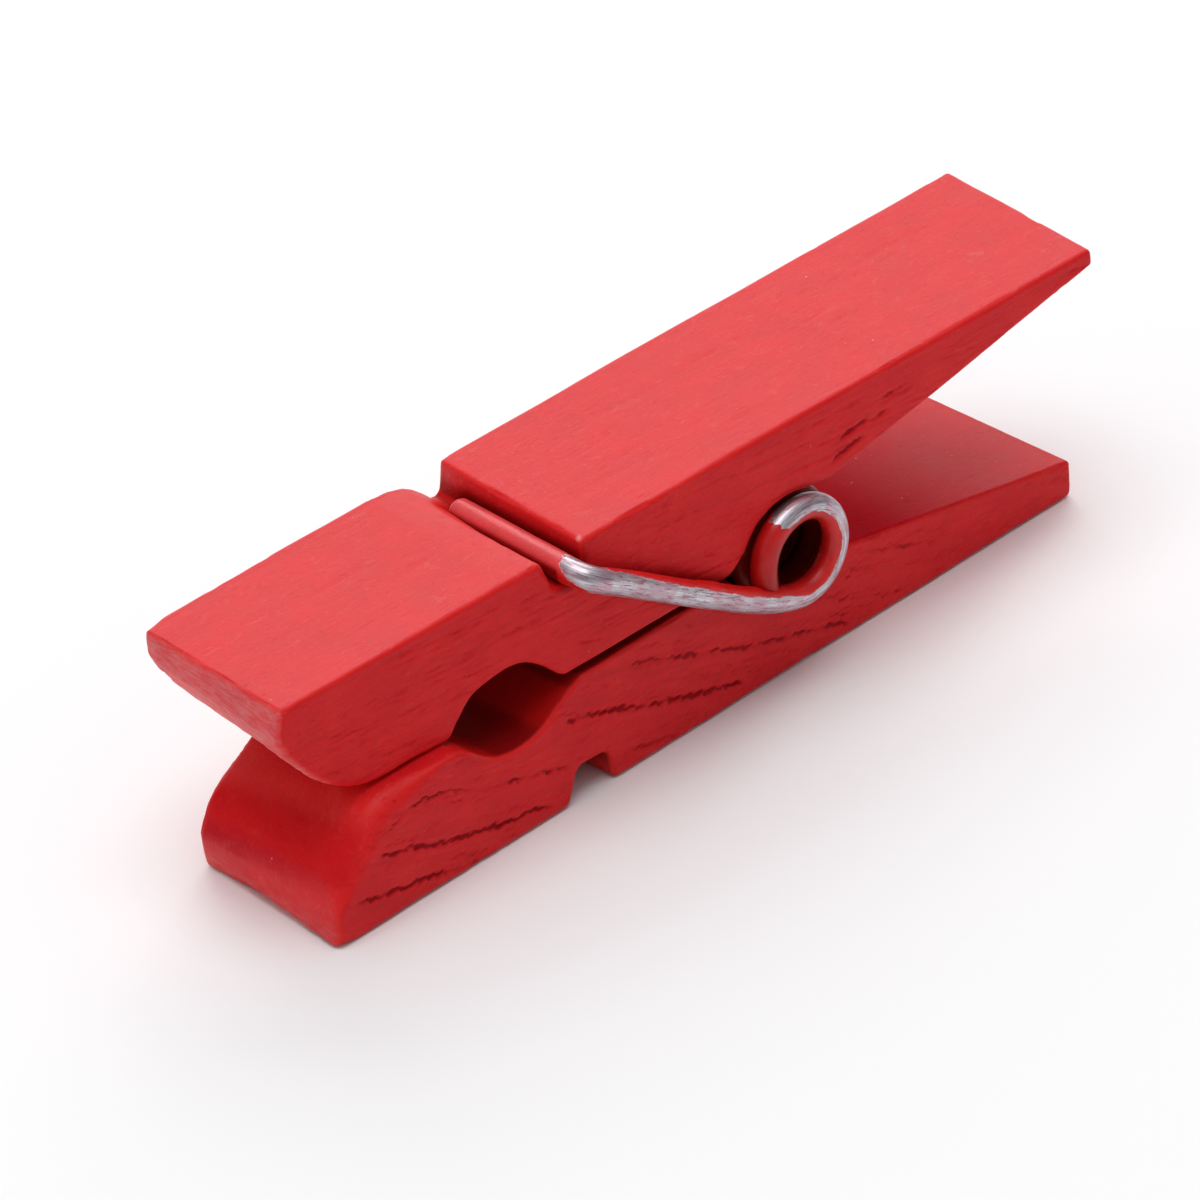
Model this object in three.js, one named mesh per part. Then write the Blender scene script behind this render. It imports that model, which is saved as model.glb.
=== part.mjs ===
// Wooden spring clothespin, craft size: two equal wooden levers and one wire torsion spring.
// Millimetres, +Z up. +X runs from the jaws to the handles, +Y away from the side where the
// spring's upper arm shows. The clothespin lies on the outer face of its lower lever: the
// origin is on that face, straight below the axis of the spring's coil.
//
// A lever's outline is drawn in the middle frame: x along the plane where the two jaws meet,
// measured from the coil axis, and t, the distance from that plane. The lower lever is placed
// first. The upper lever is the same piece turned half a turn about the middle frame's x line.

import * as THREE from "three";

const { degToRad } = THREE.MathUtils;

// ---- lever dimensions ---------------------------------------------------------------------
const LEVER_WIDTH = 7.0;          // across the clothespin
const EDGE_CHAMFER = 0.18;
const JAW_TIP_X = -21.27;         // outer corner of the jaw tip
const HANDLE_END_X = 13.63;
const HANDLE_END_THICKNESS = 1.0;
const OUTER_T_AT_AXIS = 5.026;    // middle plane to outer face, at the coil axis
const TILT = degToRad(1.42);      // each outer face opens towards the handles by this much
const AXIS_Z = OUTER_T_AT_AXIS * Math.cos(TILT);   // height of the coil axis

// Blunt nose of the jaw, outer side to inner side: [x from JAW_TIP_X, t].
const NOSE = [
  [-0.14, 3.92], [-0.2, 3.36], [-0.06, 2.77], [0.35, 2.07], [0.7, 1.58], [1.12, 1.18],
  [1.47, 0.8], [1.81, 0.48], [2.1, 0.27], [2.45, 0.12], [2.87, 0.04],
];

const PAD_START_X = -18.05;       // flat gripping pad, jaw side
const PAD_CLEARANCE = 0.02;       // each pad stands off the middle plane by this much
const NOTCH_START_X = -14.95;     // line notch, jaw side
const NOTCH_END_X = -9.8;         // line notch, coil side
const NOTCH_DEPTH = 1.42;
const NOTCH_LIP = 0.1;            // the faces beside the notch stop this far from its ends
const NOTCH_STEPS = 12;
const RELIEF_START_T = 0.12;      // inner face behind the notch, at the notch
const RELIEF_END_T = 0.28;        // and at the coil seat
const SEAT_RADIUS = 2.58;         // half-round seat for the coil
const SEAT_X = 0.15;              // its centre; the arms pull the coil this far to the jaws
const SEAT_STEPS = 16;
const TAPER_START_T = 1.69;       // inner face where the handle's taper starts at the seat
const GROOVE_OUTER_X = [-10.63, -8.63];   // spring groove at the outer face
const GROOVE_FLOOR_X = [-10.17, -8.83];   // and at its floor
const GROOVE_FLOOR_T = 3.52;

const LEVER_SKEW = degToRad(2.59);   // the spring turns each lever this much in its own plane
const SKEW_PIVOT_X = -8.05;

// ---- spring dimensions --------------------------------------------------------------------
const WIRE_DIAMETER = 0.9;
const WIRE_SIDES = 10;
const COIL_MEAN_RADIUS = 1.64;
const COIL_FULL_TURNS = 8;        // plus the part turn that the two arms' angles add
const STEPS_PER_TURN = 22;
const ARM_Y = 4.3;                // bar corner and coil end, from the middle of the width
const BAR_T = 4.0;                // crossbar's centre line, from the middle plane
const BAR_X = -9.42;              // and from the coil axis, at the middle of the width
const BAR_END_Y = 2.4;            // free end of each crossbar, past the middle of the width
const BEND_RADIUS = 0.75;
const BEND_STEPS = 8;

// ---- lever --------------------------------------------------------------------------------
function outerFace(x) {
  return [x, OUTER_T_AT_AXIS + Math.tan(TILT) * x];
}

// Inner points of the circular arc through both notch ends and its deepest point.
function notchArc() {
  const halfLength = (NOTCH_END_X - NOTCH_START_X) / 2;
  const middleX = (NOTCH_END_X + NOTCH_START_X) / 2;
  const radius = (halfLength ** 2 + NOTCH_DEPTH ** 2) / (2 * NOTCH_DEPTH);
  const halfAngle = Math.asin(halfLength / radius);
  const points = [];
  for (let i = 1; i < NOTCH_STEPS; i++) {
    const angle = -halfAngle + (2 * halfAngle * i) / NOTCH_STEPS;
    points.push([
      middleX + radius * Math.sin(angle),
      NOTCH_DEPTH - radius + radius * Math.cos(angle),
    ]);
  }
  return points;
}

// Coil seat, from the relieved face to the handle's taper.
function seatArc() {
  const start = Math.PI - Math.asin(RELIEF_END_T / SEAT_RADIUS);
  const end = Math.asin(TAPER_START_T / SEAT_RADIUS);
  const points = [];
  for (let i = 0; i <= SEAT_STEPS; i++) {
    const angle = start + ((end - start) * i) / SEAT_STEPS;
    points.push([SEAT_X + SEAT_RADIUS * Math.cos(angle), SEAT_RADIUS * Math.sin(angle)]);
  }
  return points;
}

// Outline in [x, t]: along the inner side to the handle end, then back along the outer face.
function leverOutline() {
  const [handleX, handleOuterT] = outerFace(HANDLE_END_X);
  return [
    outerFace(JAW_TIP_X),
    ...NOSE.map(([dx, t]) => [JAW_TIP_X + dx, t]),
    [PAD_START_X, PAD_CLEARANCE],
    [NOTCH_START_X - NOTCH_LIP, PAD_CLEARANCE],
    ...notchArc(),
    [NOTCH_END_X + NOTCH_LIP, RELIEF_START_T],
    ...seatArc(),
    [handleX, handleOuterT - HANDLE_END_THICKNESS],
    [handleX, handleOuterT],
    outerFace(GROOVE_OUTER_X[1]),
    [GROOVE_FLOOR_X[1], GROOVE_FLOOR_T],
    [GROOVE_FLOOR_X[0], GROOVE_FLOOR_T],
    outerFace(GROOVE_OUTER_X[0]),
  ];
}

// The outline laid with its outer face along z = 0 and extruded across the width.
function leverGeometry() {
  const cos = Math.cos(TILT);
  const sin = Math.sin(TILT);
  const points = leverOutline().map(
    ([x, t]) => new THREE.Vector2(x * cos + t * sin, AXIS_Z + x * sin - t * cos),
  );
  const depth = LEVER_WIDTH - 2 * EDGE_CHAMFER;
  const geometry = new THREE.ExtrudeGeometry(new THREE.Shape(points), {
    depth,
    steps: 1,
    bevelEnabled: true,
    bevelThickness: EDGE_CHAMFER,
    bevelSize: EDGE_CHAMFER,
    bevelOffset: -EDGE_CHAMFER,
    bevelSegments: 1,
    curveSegments: 1,
  });
  // the drawn plane stands up, and the extrusion lies along Y, centred
  geometry.translate(0, 0, -depth / 2);
  geometry.rotateX(Math.PI / 2);
  return geometry;
}

function leverMaterial() {
  return new THREE.MeshStandardMaterial({
    color: new THREE.Color(0.72, 0.06, 0.06),
    roughness: 0.45,
    metalness: 0,
  });
}

// A lever hangs in a group that turns it, in its own plane, about the skew pivot.
function skewedLever(name) {
  const pivot = new THREE.Group();
  pivot.position.x = SKEW_PIVOT_X;
  pivot.rotation.z = LEVER_SKEW;
  const mesh = new THREE.Mesh(leverGeometry(), leverMaterial());
  mesh.name = name;
  mesh.position.x = -SKEW_PIVOT_X;
  pivot.add(mesh);
  return pivot;
}

// The upper lever in the middle frame: moved from the rest face to the coil axis, levelled
// to the middle plane, then turned half a turn about x.
function upperLever() {
  const drop = new THREE.Group();
  drop.position.z = -AXIS_Z;
  drop.add(skewedLever("upper_lever"));
  const level = new THREE.Group();
  level.rotation.y = TILT;
  level.add(drop);
  const halfTurn = new THREE.Group();
  halfTurn.rotation.x = Math.PI;
  halfTurn.add(level);
  return halfTurn;
}

// ---- torsion spring -----------------------------------------------------------------------
// Centre lines are in the middle frame, z up from the middle plane, coil axis along Y.

// Point on the upper crossbar, which lies along the upper lever's groove.
function barAt(y) {
  return new THREE.Vector3(BAR_X + Math.tan(LEVER_SKEW) * y, y, BAR_T);
}

function coilPoint(angle, y) {
  return new THREE.Vector3(
    COIL_MEAN_RADIUS * Math.cos(angle), y, COIL_MEAN_RADIUS * Math.sin(angle),
  );
}

// Coil angle where the tangent from the bar's corner meets the underside of the coil.
function tangentAngle(corner) {
  const distance = Math.hypot(corner.x, corner.z);
  return Math.atan2(corner.z, corner.x) + Math.acos(COIL_MEAN_RADIUS / distance) - 2 * Math.PI;
}

// Rounded corner between two legs that leave it along the given directions. The legs are
// nearly square, so the angle between them also serves as the angle of the bend.
function bendPoints(corner, startDirection, endDirection) {
  const angle = Math.acos(startDirection.dot(endDirection));
  const setback = BEND_RADIUS * Math.tan(angle / 2);
  const start = corner.clone().addScaledVector(startDirection, setback);
  const end = corner.clone().addScaledVector(endDirection, setback);
  const inward = start.clone().add(end).multiplyScalar(0.5).sub(corner).normalize();
  const centre = corner.clone().addScaledVector(inward, Math.hypot(BEND_RADIUS, setback));
  const startSpoke = start.sub(centre);
  const endSpoke = end.sub(centre);
  const points = [];
  for (let i = 0; i <= BEND_STEPS; i++) {
    const share = i / BEND_STEPS;
    const startWeight = Math.sin((1 - share) * angle) / Math.sin(angle);
    const endWeight = Math.sin(share * angle) / Math.sin(angle);
    points.push(
      centre.clone().addScaledVector(startSpoke, startWeight).addScaledVector(endSpoke, endWeight),
    );
  }
  return points;
}

function coilPoints(startAngle) {
  // ends at the start angle turned half a turn about the x line
  const sweep = COIL_FULL_TURNS * 2 * Math.PI - 2 * startAngle;
  const steps = Math.round((STEPS_PER_TURN * sweep) / (2 * Math.PI));
  const points = [];
  for (let i = 0; i <= steps; i++) {
    const share = i / steps;
    points.push(coilPoint(startAngle + sweep * share, -ARM_Y + 2 * ARM_Y * share));
  }
  return points;
}

function springPath() {
  const corner = barAt(-ARM_Y);
  const startAngle = tangentAngle(corner);
  const armDirection = coilPoint(startAngle, -ARM_Y).sub(corner).normalize();
  const barDirection = barAt(1).sub(barAt(0)).normalize();
  const upperEnd = [barAt(BAR_END_Y), ...bendPoints(corner, barDirection, armDirection)];
  // the lower end is the upper one turned half a turn about the x line
  const lowerEnd = upperEnd.map(({ x, y, z }) => new THREE.Vector3(x, -y, -z)).reverse();
  return [...upperEnd, ...coilPoints(startAngle), ...lowerEnd];
}

// A closed round wire swept along the centre line, with flat ends.
function wireGeometry(path, radius, sides) {
  const lastStation = path.length - 1;
  const normal = new THREE.Vector3(0, 0, 1);
  const positions = [];
  path.forEach((point, i) => {
    const before = path[Math.max(i - 1, 0)];
    const after = path[Math.min(i + 1, lastStation)];
    const tangent = after.clone().sub(before).normalize();
    // carrying the normal from station to station keeps the rings from twisting
    normal.addScaledVector(tangent, -normal.dot(tangent)).normalize();
    const side = new THREE.Vector3().crossVectors(tangent, normal);
    for (let j = 0; j < sides; j++) {
      const angle = (2 * Math.PI * j) / sides;
      const vertex = point.clone()
        .addScaledVector(normal, radius * Math.cos(angle))
        .addScaledVector(side, radius * Math.sin(angle));
      positions.push(...vertex);
    }
  });
  positions.push(...path[0], ...path[lastStation]);

  const startCentre = path.length * sides;
  const endCentre = startCentre + 1;
  const endRing = lastStation * sides;
  const index = [];
  for (let i = 0; i < lastStation; i++) {
    for (let j = 0; j < sides; j++) {
      const here = i * sides + j;
      const beside = i * sides + ((j + 1) % sides);
      index.push(here, beside, beside + sides);
      index.push(here, beside + sides, here + sides);
    }
  }
  for (let j = 0; j < sides; j++) {
    const next = (j + 1) % sides;
    index.push(startCentre, next, j);
    index.push(endCentre, endRing + j, endRing + next);
  }

  const geometry = new THREE.BufferGeometry();
  geometry.setAttribute("position", new THREE.Float32BufferAttribute(positions, 3));
  geometry.setIndex(index);
  geometry.computeVertexNormals();
  return geometry;
}

function springMaterial() {
  return new THREE.MeshStandardMaterial({
    color: new THREE.Color(0.62, 0.6, 0.62),
    roughness: 0.35,
    metalness: 1,
  });
}

function torsionSpring() {
  const geometry = wireGeometry(springPath(), WIRE_DIAMETER / 2, WIRE_SIDES);
  const mesh = new THREE.Mesh(geometry, springMaterial());
  mesh.name = "torsion_spring";
  return mesh;
}

// ---- assembly -----------------------------------------------------------------------------
// middle frame: on the coil axis, rising towards the handles
const middle = new THREE.Group();
middle.position.z = AXIS_Z;
middle.rotation.y = -TILT;
middle.add(upperLever(), torsionSpring());

const clothespin = new THREE.Group();
clothespin.add(skewedLever("lower_lever"), middle);

export default clothespin;
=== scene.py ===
"""A small painted clothespin: two wooden levers and the wire spring that joins them.

In the product's frame x runs from the noses (-x) to the handles (+x), y across the width and
z up from the lower lever's outer face. The near side is -y, where the upper spring arm lies.
Shapes are worked out in mm, in two more frames:
- a lever's own axes, with z = 0 on its outer face and its inner face towards +z
- the middle frame, with the coil axis as y and the levers above and below z = 0.
"""
import math
from itertools import product

import bpy
import numpy as np
from mathutils import Matrix, Vector


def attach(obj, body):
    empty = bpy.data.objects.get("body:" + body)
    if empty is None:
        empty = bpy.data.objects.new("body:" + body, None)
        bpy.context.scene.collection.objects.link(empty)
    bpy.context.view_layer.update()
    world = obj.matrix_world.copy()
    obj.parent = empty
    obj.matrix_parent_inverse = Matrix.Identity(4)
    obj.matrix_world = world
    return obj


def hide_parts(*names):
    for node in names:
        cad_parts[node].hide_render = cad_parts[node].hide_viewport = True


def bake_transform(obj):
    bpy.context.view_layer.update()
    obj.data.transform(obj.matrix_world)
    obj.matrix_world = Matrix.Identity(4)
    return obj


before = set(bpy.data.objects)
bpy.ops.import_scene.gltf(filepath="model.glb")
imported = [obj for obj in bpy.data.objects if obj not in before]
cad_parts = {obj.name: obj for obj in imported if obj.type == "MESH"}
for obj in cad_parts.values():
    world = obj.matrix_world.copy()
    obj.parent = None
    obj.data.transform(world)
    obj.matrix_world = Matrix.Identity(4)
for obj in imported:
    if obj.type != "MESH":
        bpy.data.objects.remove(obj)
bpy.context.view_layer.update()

MM = 0.001
TILT = math.radians(1.42)          # each outer face opens towards the handles
COS_TILT, SIN_TILT = math.cos(TILT), math.sin(TILT)
OUTER_T = 5.026                    # middle plane to outer face, at the coil axis
AXIS_Z = OUTER_T * COS_TILT
SKEW = math.radians(2.59)          # each lever is turned in its own plane
SKEW_X = -8.05                     # about this place
HALF = 3.5                         # half of a lever's width
FAR_HALF = 3.62                    # the upper lever stands prouder on its far side
END_X = 13.63                      # handle end

CORNERS = list(product((0, 1), repeat=3))      # of a unit cell


# ---------------------------------------------------------------- noise and easing
def hashed(i, j, k, seed):
    """A scrambled value from 0 to 1 for each lattice point."""
    bits = (i * 374761393 + j * 668265263 + k * 1442695041 + seed * 974634777) & 0xFFFFFFFF
    bits = ((bits ^ (bits >> 13)) * 1274126177) & 0xFFFFFFFF
    bits = ((bits ^ (bits >> 16)) * 2246822519) & 0xFFFFFFFF
    return ((bits ^ (bits >> 15)) & 0xFFFFFF) / float(0xFFFFFF)


def noise(points, seed):
    """Smooth value noise of the points, from -1 to 1."""
    cell = np.floor(points).astype(np.int64)
    part = points - cell
    blend = part * part * (3 - 2 * part)
    total = np.zeros(len(points))
    for corner in CORNERS:
        weight = np.where(corner, blend, 1 - blend)
        total += weight[:, 0] * weight[:, 1] * weight[:, 2] * hashed(*(cell + corner).T, seed)
    return 2 * total - 1


def fbm(points, octaves, seed):
    """Noise in layers, each about twice as fine and half as strong as the last."""
    total = weights = 0.0
    for k in range(octaves):
        weight = 0.5 ** k
        total = total + weight * noise(points * 2.03 ** k + 17.3 * k, seed + 31 * k)
        weights += weight
    return total / weights


def smooth(value):
    value = np.clip(value, 0, 1)
    return value * value * (3 - 2 * value)


def rise(value, start, over):
    """Eases from 0 at start to 1 at start + over."""
    return smooth((value - start) / over)


def fall(value, start, over):
    """Eases from 0 at start to 1 at start - over."""
    return smooth((start - value) / over)


def xyz(x, y, z):
    return np.stack(np.broadcast_arrays(x, y, z), 1)


def unit(vectors, least=0.0):
    return vectors / np.maximum(np.linalg.norm(vectors, axis=-1, keepdims=True), least)


def middle_to_product(x, y, z):
    return np.stack([x * COS_TILT - z * SIN_TILT, y, x * SIN_TILT + z * COS_TILT + AXIS_Z], 1)


def arc_point(centre, start, end, turn, share):
    """A point on the arc from centre + start to centre + end, which are turn apart."""
    mixed = start * math.sin((1 - share) * turn) + end * math.sin(share * turn)
    return centre + mixed / math.sin(turn)


# ---------------------------------------------------------------- lever outlines
# Points are (x, depth), with depth from the middle plane towards the outer face.
NOSE_UPPER = [
    (-21.57, 4.35), (-21.66, 3.95), (-21.78, 3.35), (-21.56, 2.68), (-21.14, 2.05),
    (-20.38, 1.2), (-19.6, 0.56), (-18.95, 0.24), (-18.35, 0.08), (-17.9, 0.02),
]
NOSE_LOWER_NEAR = [
    (-21.44, 4.3), (-21.41, 3.9), (-21.37, 3.55), (-21.22, 2.87), (-20.86, 2.04),
    (-20.1, 1.18), (-19.47, 0.5), (-18.9, 0.14), (-18.3, 0.02),
]
NOSE_LOWER_FAR = [
    (-21.44, 4.4), (-21.5, 4.1), (-21.56, 3.7), (-21.58, 3.1), (-21.44, 2.6), (-21.1, 2.05),
    (-20.52, 1.57), (-19.74, 1.18), (-18.3, 0.44), (-17.5, 0.12), (-16.8, 0.02),
]
NOSE_LOWER_FAR_BACK = 0.77         # how far that curve is then moved along +x
NOTCH_UPPER = [
    (-14.72, 0.16), (-14.39, 0.6), (-13.9, 1.12), (-13.46, 1.32), (-12.8, 1.45),
    (-12.15, 1.5), (-11.53, 1.36), (-10.93, 0.98), (-10.5, 0.58), (-10.2, 0.27),
]
NOTCH_LOWER = [
    (-15.0, 0.22), (-14.71, 0.42), (-14.28, 0.78), (-13.62, 1.17), (-12.7, 1.33),
    (-11.76, 1.2), (-11.02, 0.79), (-10.28, 0.38),
]
# the far end of the upper lever's crossbar groove, as (x, depth, fillet)
GROOVE_UPPER_FAR = [
    (-8.99, 4.0, 0), (-9.05, 3.72, 0), (-9.17, 3.58, 0.1), (-9.4, 3.6, 0.1),
    (-9.75, 3.95, 0), (-10.13, 4.28, 0), (-10.5, 4.5, 0), (-11.1, 4.66, 0),
]


def outer_depth(x):
    return OUTER_T + math.tan(TILT) * x


def on_face(x, fillet):
    """A corner on the outer face."""
    return (x, outer_depth(x), fillet)


def spline(points, step=0.12):
    """Sharp corners along a Catmull-Rom curve through the points, ends included."""
    keys = np.array([points[0], *points, points[-1]], float)
    curve = []
    for i in range(1, len(keys) - 2):
        before, here, after, beyond = keys[i - 1:i + 3]
        count = max(2, int(np.hypot(*(after - here)) / step))
        for share in np.arange(count) / count:
            square = (2 * before - 5 * here + 4 * after - beyond) * share * share
            cube = (3 * here - before - 3 * after + beyond) * share ** 3
            curve.append(0.5 * (2 * here + (after - before) * share + square + cube))
    curve.append(keys[-2])
    return [(x, depth, 0) for x, depth in curve]


def seat(centre_x, radius, start_depth, end_angle, end_fillet=0):
    """The round seat of the coil, from its nose side to end_angle."""
    start_angle = math.pi - math.asin(start_depth / radius)
    arc = []
    for k in range(25):
        angle = start_angle + (end_angle - start_angle) * k / 24
        x = centre_x + radius * math.cos(angle)
        arc.append((x, radius * math.sin(angle), end_fillet if k == 24 else 0))
    return arc


def round_corners(corners):
    """The corners are (x, depth, radius); those with a radius become arcs."""
    out, count = [], len(corners)
    for i in range(count):
        before, here, after = (
            np.array(corners[(i + k) % count][:2], float) for k in (-1, 0, 1))
        radius = corners[i][2]
        back, on = before - here, after - here
        back_length, on_length = np.hypot(*back), np.hypot(*on)
        back, on = back / back_length, on / on_length
        angle = math.acos(float(np.clip(back @ on, -1, 1)))
        if radius <= 0 or angle > math.radians(172):
            out.append(tuple(here))
            continue
        reach = min(radius / math.tan(angle / 2), 0.48 * back_length, 0.48 * on_length)
        radius = reach * math.tan(angle / 2)
        centre = here + (back + on) / np.hypot(*(back + on)) * math.hypot(radius, reach)
        start, end = here + back * reach - centre, here + on * reach - centre
        turn = math.acos(float(np.clip(start @ end / (radius * radius), -1, 1)))
        steps = max(3, int(turn / 0.22))
        for k in range(steps + 1):
            out.append(tuple(arc_point(centre, start, end, turn, k / steps)))
    return out


def upper_corners(far):
    nose = NOSE_UPPER
    if far:
        nose = [(x + 0.02 + 0.46 * fall(depth, 4.3, over=1.7) * rise(depth, -0.3, over=0.9), depth)
                for x, depth in nose]
    corners = [
        on_face(-21.5, 0.17), *spline(nose),
        (-14.9, 0.02, 0.12), *spline(NOTCH_UPPER),
        (-9.95, 0.1, 0.3), (-4.4, 0.25, 0), (-2.7, 0.36, 0.75),
        *seat(0.0, radius=2.23, start_depth=0.95, end_angle=math.radians(72)),
        (1.8, 2.03, 0.22), (6.7, 3.12, 0),
        (END_X, outer_depth(END_X) - 0.64, 0.12), (END_X - 0.02, outer_depth(END_X), 0.2),
    ]
    if far:
        return corners + [on_face(-8.88, 0.16), *GROOVE_UPPER_FAR, on_face(-11.8, 0)]
    return corners + [
        on_face(-8.8, 0.16), (-8.93, 3.52, 0.2), (-10.1, 3.52, 0.22), on_face(-10.52, 0.26)]


def lower_corners(far):
    back = NOSE_LOWER_FAR_BACK if far else 0.0
    nose = [(x + back, depth) for x, depth in (NOSE_LOWER_FAR if far else NOSE_LOWER_NEAR)]
    radius = 2.45
    return [
        (-21.44 + back, outer_depth(-21.44), 0.24), *spline(nose),
        (-15.45, 0.02, 0.5), *spline(NOTCH_LOWER),
        (-9.6, 0.13, 0.5), (-4.4, 0.22, 0), (-2.6, 0.3, 0.45),
        *seat(0.08, radius, start_depth=0.75, end_angle=math.asin(1.5 / radius), end_fillet=0.25),
        (END_X - 0.12, outer_depth(END_X) - 1.34, 0.18), (END_X - 0.16, outer_depth(END_X), 0.2),
        on_face(-8.6, 0.2), (-8.84, 3.62, 0.3), (-10.2, 3.5, 0.34), on_face(-10.66, 0.42),
    ]


def outline(upper, far):
    """A lever's outline on its near or far side, as (x, z) in its own axes."""
    corners = upper_corners(far) if upper else lower_corners(far)
    return [(x * COS_TILT + depth * SIN_TILT, AXIS_Z + x * SIN_TILT - depth * COS_TILT)
            for x, depth in round_corners(corners)]


class Profile:
    """Signed distance to a closed outline, negative inside, read from a fine table."""

    X0, Z0, CELL, COUNT_X, COUNT_Z = -23.0, -1.4, 0.05, 770, 172

    def __init__(self, poly):
        xs = self.X0 + self.CELL * np.arange(self.COUNT_X)
        zs = self.Z0 + self.CELL * np.arange(self.COUNT_Z)
        x, z = (grid.astype(np.float32) for grid in np.meshgrid(xs, zs, indexing="ij"))
        nearest = np.full(x.shape, 1e9, np.float32)      # squared distance
        inside = np.zeros(x.shape, bool)
        for i in range(len(poly)):
            (start_x, start_z), (end_x, end_z) = poly[i], poly[(i + 1) % len(poly)]
            side_x, side_z = end_x - start_x, end_z - start_z
            square = side_x * side_x + side_z * side_z
            if square < 1e-12:
                continue
            from_x, from_z = x - np.float32(start_x), z - np.float32(start_z)
            share = np.clip((from_x * side_x + from_z * side_z) / square, 0, 1)
            gap = (from_x - side_x * share) ** 2 + (from_z - side_z * share) ** 2
            nearest = np.minimum(nearest, gap)
            if start_z != end_z:
                crossing = start_x + (z - start_z) * (side_x / (end_z - start_z))
                inside ^= ((z < start_z) != (z < end_z)) & (x < crossing)
        self.table = np.sqrt(nearest) * np.where(inside, -1, 1)

    def at(self, x, z):
        column = np.clip((x - self.X0) / self.CELL, 0, self.COUNT_X - 1.001)
        row = np.clip((z - self.Z0) / self.CELL, 0, self.COUNT_Z - 1.001)
        i, j = column.astype(np.int64), row.astype(np.int64)
        right, up = column - i, row - j
        table = self.table
        return (table[i, j] * (1 - right) * (1 - up) + table[i + 1, j] * right * (1 - up)
                + table[i, j + 1] * (1 - right) * up + table[i + 1, j + 1] * right * up)


# ---------------------------------------------------------------- meshing a field
def surface_net(field, xs, ys, zs):
    """The points, quads and outward normals of the surface where field is zero."""
    lines = (xs, ys, zs)
    shape = tuple(len(line) for line in lines)
    values = np.empty(shape, np.float32)
    slab_y, slab_z = (grid.ravel() for grid in np.meshgrid(ys, zs, indexing="ij"))
    for i in range(len(xs)):
        values[i] = field(xyz(xs[i], slab_y, slab_z)).reshape(shape[1:])
    inside = values < 0
    count = sum(
        inside[tuple(slice(k, size - 1 + k) for k, size in zip(corner, shape))].astype(np.int8)
        for corner in CORNERS)
    cells = np.stack(np.nonzero((count > 0) & (count < 8)), 1)
    index = np.full(count.shape, -1, np.int64)
    index[tuple(cells.T)] = np.arange(len(cells))

    def at_corner(corner):
        where = tuple((cells + corner).T)
        places = np.stack([line[i] for line, i in zip(lines, where)], 1)
        return values[where].astype(float), places

    # one point per cell, the mean of where the surface cuts the cell's edges
    total, hits = np.zeros((len(cells), 3)), np.zeros(len(cells))
    for start, end in product(CORNERS, CORNERS):
        if sum(end) - sum(start) != 1 or any(b < a for a, b in zip(start, end)):
            continue
        (start_value, start_place), (end_value, end_place) = at_corner(start), at_corner(end)
        cut = (start_value < 0) != (end_value < 0)
        share = np.where(cut, start_value / np.where(cut, start_value - end_value, 1), 0)
        place = start_place + (end_place - start_place) * share[:, None]
        total += np.where(cut[:, None], place, 0)
        hits += cut
    points = total / hits[:, None]

    # one quad round each grid edge that the surface cuts
    quads = []
    for axis in range(3):
        low, high = [slice(1, -1)] * 3, [slice(1, -1)] * 3
        low[axis], high[axis] = slice(0, -1), slice(1, None)
        low_inside, high_inside = inside[tuple(low)], inside[tuple(high)]
        edges = np.stack(np.nonzero(low_inside != high_inside), 1)
        outward = low_inside[tuple(edges.T)]
        base = edges + 1
        base[:, axis] -= 1
        ring = []
        for shift in ((-1, -1), (0, -1), (0, 0), (-1, 0)):
            cell = base.copy()
            cell[:, (axis + 1) % 3] += shift[0]
            cell[:, (axis + 2) % 3] += shift[1]
            ring.append(index[tuple(cell.T)])
        ring = np.stack(ring, 1)
        ring[~outward] = ring[~outward][:, ::-1]
        quads.append(ring)
    quads = np.concatenate(quads)

    def gradient(places):
        slopes = [field(places + step) - field(places - step) for step in np.eye(3) * 0.012]
        return unit(np.stack(slopes, 1), least=1e-9)

    def settle(places, times):
        for _ in range(times):
            move = np.clip(field(places), -0.12, 0.12)[:, None]
            places = places - move * gradient(places)
        return places

    points = settle(points, 3)
    one, other = np.concatenate([quads, np.roll(quads, 1, axis=1)]).reshape(2, -1)
    size = len(points)
    neighbours = np.bincount(one, minlength=size) + np.bincount(other, minlength=size)
    for _ in range(2):       # even the points out along the surface
        sums = np.stack([np.bincount(one, points[other, k], size)
                         + np.bincount(other, points[one, k], size) for k in range(3)], 1)
        points = settle(0.5 * points + 0.5 * sums / neighbours[:, None], 2)
    return points, quads, gradient(points)


def grid_lines(low, high, fine, coarse, places, reach):
    """Grid lines from low to high, fine within reach of each place and coarse elsewhere."""
    out, x = [low], low
    while x < high:
        near = min(abs(x - place) for place in places)
        x += fine + (coarse - fine) * rise(near, reach, over=reach + 0.4)
        out.append(x)
    return np.array(out)


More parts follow.
